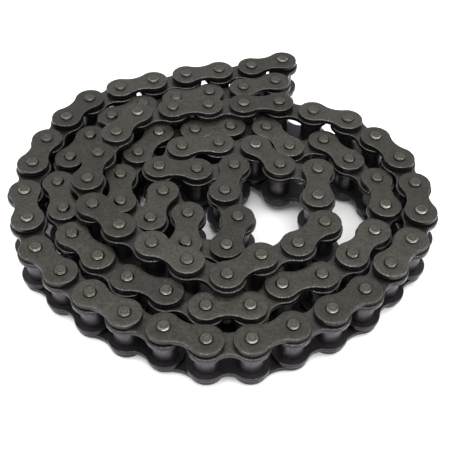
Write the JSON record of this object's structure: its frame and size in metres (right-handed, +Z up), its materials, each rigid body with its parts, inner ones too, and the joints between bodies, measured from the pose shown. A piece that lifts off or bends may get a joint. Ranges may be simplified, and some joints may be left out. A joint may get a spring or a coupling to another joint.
{
  "type": "drive chain",
  "caption": "Endless motorcycle roller chain with separate plates, pins, bushes and rollers, folded double and rolled into a flat coil.",
  "frame": {"origin": "bottom centre of the coil, on the surface that it lies on", "axes": "+Z up along the pins; +X to the right and +Y away, with the opened end of the chain at the back right"},
  "size_m": [0.1388, 0.1434, 0.0218],
  "materials": {
    "plate_steel_outer": "phosphated, satin, lightly oiled",
    "plate_steel_inner": "phosphated, satin, lightly oiled",
    "pin_steel": "ground, riveted ends burnished",
    "bush_steel": "satin, oiled",
    "roller_steel": "dark, oiled, semi-gloss"
  },
  "bodies": {
    "coil": {"closing_pin_core": "pin_steel", "coil_bushes": "bush_steel", "coil_inner_plates_lower": "plate_steel_inner", "coil_inner_plates_upper": "plate_steel_inner", "coil_outer_plates_lower": "plate_steel_outer", "coil_outer_plates_upper": "plate_steel_outer", "coil_pins": "pin_steel", "coil_rollers": "roller_steel"},
    "link_01": {"link_01_outer_plate_lower": "plate_steel_outer", "link_01_outer_plate_upper": "plate_steel_outer", "link_01_pins": "pin_steel"},
    "link_02": {"link_02_bushes": "bush_steel", "link_02_inner_plate_lower": "plate_steel_inner", "link_02_inner_plate_upper": "plate_steel_inner"},
    "link_03": {"link_03_outer_plate_lower": "plate_steel_outer", "link_03_outer_plate_upper": "plate_steel_outer", "link_03_pins": "pin_steel"},
    "link_04": {"link_04_bushes": "bush_steel", "link_04_inner_plate_lower": "plate_steel_inner", "link_04_inner_plate_upper": "plate_steel_inner"},
    "link_05": {"link_05_outer_plate_lower": "plate_steel_outer", "link_05_outer_plate_upper": "plate_steel_outer", "link_05_pins": "pin_steel"},
    "link_06": {"link_06_bushes": "bush_steel", "link_06_inner_plate_lower": "plate_steel_inner", "link_06_inner_plate_upper": "plate_steel_inner"},
    "link_07": {"link_07_outer_plate_lower": "plate_steel_outer", "link_07_outer_plate_upper": "plate_steel_outer", "link_07_pins": "pin_steel"},
    "link_08": {"link_08_bushes": "bush_steel", "link_08_inner_plate_lower": "plate_steel_inner", "link_08_inner_plate_upper": "plate_steel_inner"},
    "link_09": {"link_09_outer_plate_lower": "plate_steel_outer", "link_09_outer_plate_upper": "plate_steel_outer", "link_09_pins": "pin_steel"},
    "link_10": {"link_10_bushes": "bush_steel", "link_10_inner_plate_lower": "plate_steel_inner", "link_10_inner_plate_upper": "plate_steel_inner"},
    "link_11": {"link_11_outer_plate_lower": "plate_steel_outer", "link_11_outer_plate_upper": "plate_steel_outer", "link_11_pins": "pin_steel"},
    "link_12": {"link_12_bushes": "bush_steel", "link_12_inner_plate_lower": "plate_steel_inner", "link_12_inner_plate_upper": "plate_steel_inner"},
    "link_02_roller_1": {"link_02_roller_1": "roller_steel"},
    "link_02_roller_2": {"link_02_roller_2": "roller_steel"},
    "link_04_roller_1": {"link_04_roller_1": "roller_steel"},
    "link_04_roller_2": {"link_04_roller_2": "roller_steel"},
    "link_06_roller_1": {"link_06_roller_1": "roller_steel"},
    "link_06_roller_2": {"link_06_roller_2": "roller_steel"},
    "link_08_roller_1": {"link_08_roller_1": "roller_steel"},
    "link_08_roller_2": {"link_08_roller_2": "roller_steel"},
    "link_10_roller_1": {"link_10_roller_1": "roller_steel"},
    "link_10_roller_2": {"link_10_roller_2": "roller_steel"},
    "link_12_roller_1": {"link_12_roller_1": "roller_steel"},
    "link_12_roller_2": {"link_12_roller_2": "roller_steel"}
  },
  "joints": [
    {"name": "pivot_01", "type": "hinge", "parent": "link_02", "child": "link_01", "pos_m": [0.01059, 0.0616, 0.01003], "axis": [0, 0, 1], "range_deg": [0, 30]},
    {"name": "pivot_02", "type": "hinge", "parent": "link_03", "child": "link_02", "pos_m": [-0.0017, 0.05841, 0.01027], "axis": [0, 0, 1], "range_deg": [0, 30]},
    {"name": "pivot_03", "type": "hinge", "parent": "link_04", "child": "link_03", "pos_m": [-0.01401, 0.05529, 0.01027], "axis": [0, 0, 1], "range_deg": [0, 30]},
    {"name": "pivot_04", "type": "hinge", "parent": "link_05", "child": "link_04", "pos_m": [-0.02603, 0.0512, 0.01027], "axis": [0, 0, 1], "range_deg": [0, 30]},
    {"name": "pivot_05", "type": "hinge", "parent": "link_06", "child": "link_05", "pos_m": [-0.03782, 0.04646, 0.01027], "axis": [0, 0, 1], "range_deg": [0, 30]},
    {"name": "pivot_06", "type": "hinge", "parent": "link_07", "child": "link_06", "pos_m": [-0.04822, 0.03918, 0.01046], "axis": [0, 0, 1], "range_deg": [0, 30]},
    {"name": "pivot_07", "type": "hinge", "parent": "link_08", "child": "link_07", "pos_m": [-0.05503, 0.02846, 0.01046], "axis": [0, 0, 1], "range_deg": [0, 30]},
    {"name": "pivot_08", "type": "hinge", "parent": "link_09", "child": "link_08", "pos_m": [-0.0602, 0.01686, 0.01007], "axis": [0, 0, 1], "range_deg": [0, 30]},
    {"name": "pivot_09", "type": "hinge", "parent": "link_10", "child": "link_09", "pos_m": [-0.06302, 0.00448, 0.01007], "axis": [0, 0, 1], "range_deg": [0, 30]},
    {"name": "pivot_10", "type": "hinge", "parent": "link_11", "child": "link_10", "pos_m": [-0.06355, -0.00821, 0.00923], "axis": [0, 0, 1], "range_deg": [0, 30]},
    {"name": "pivot_11", "type": "hinge", "parent": "link_12", "child": "link_11", "pos_m": [-0.06048, -0.02054, 0.00923], "axis": [0, 0, 1], "range_deg": [0, 30]},
    {"name": "pivot_12", "type": "hinge", "parent": "coil", "child": "link_12", "pos_m": [-0.056, -0.03242, 0.00839], "axis": [0, 0, 1], "range_deg": [0, 30]},
    {"name": "spin_02_1", "type": "hinge", "parent": "link_02", "child": "link_02_roller_1", "pos_m": [0.01059, 0.0616, 0.01015], "axis": [0, 0, 1], "continuous": true},
    {"name": "spin_02_2", "type": "hinge", "parent": "link_02", "child": "link_02_roller_2", "pos_m": [-0.0017, 0.05841, 0.01015], "axis": [0, 0, 1], "continuous": true},
    {"name": "spin_04_1", "type": "hinge", "parent": "link_04", "child": "link_04_roller_1", "pos_m": [-0.01401, 0.05529, 0.00985], "axis": [0, 0, 1], "continuous": true},
    {"name": "spin_04_2", "type": "hinge", "parent": "link_04", "child": "link_04_roller_2", "pos_m": [-0.02603, 0.0512, 0.00985], "axis": [0, 0, 1], "continuous": true},
    {"name": "spin_06_1", "type": "hinge", "parent": "link_06", "child": "link_06_roller_1", "pos_m": [-0.03782, 0.04646, 0.01005], "axis": [0, 0, 1], "continuous": true},
    {"name": "spin_06_2", "type": "hinge", "parent": "link_06", "child": "link_06_roller_2", "pos_m": [-0.04822, 0.03918, 0.01005], "axis": [0, 0, 1], "continuous": true},
    {"name": "spin_08_1", "type": "hinge", "parent": "link_08", "child": "link_08_roller_1", "pos_m": [-0.05503, 0.02846, 0.01027], "axis": [0, 0, 1], "continuous": true},
    {"name": "spin_08_2", "type": "hinge", "parent": "link_08", "child": "link_08_roller_2", "pos_m": [-0.0602, 0.01686, 0.01027], "axis": [0, 0, 1], "continuous": true},
    {"name": "spin_10_1", "type": "hinge", "parent": "link_10", "child": "link_10_roller_1", "pos_m": [-0.06302, 0.00448, 0.00965], "axis": [0, 0, 1], "continuous": true},
    {"name": "spin_10_2", "type": "hinge", "parent": "link_10", "child": "link_10_roller_2", "pos_m": [-0.06355, -0.00821, 0.00965], "axis": [0, 0, 1], "continuous": true},
    {"name": "spin_12_1", "type": "hinge", "parent": "link_12", "child": "link_12_roller_1", "pos_m": [-0.06048, -0.02054, 0.00881], "axis": [0, 0, 1], "continuous": true},
    {"name": "spin_12_2", "type": "hinge", "parent": "link_12", "child": "link_12_roller_2", "pos_m": [-0.056, -0.03242, 0.00881], "axis": [0, 0, 1], "continuous": true}
  ]
}
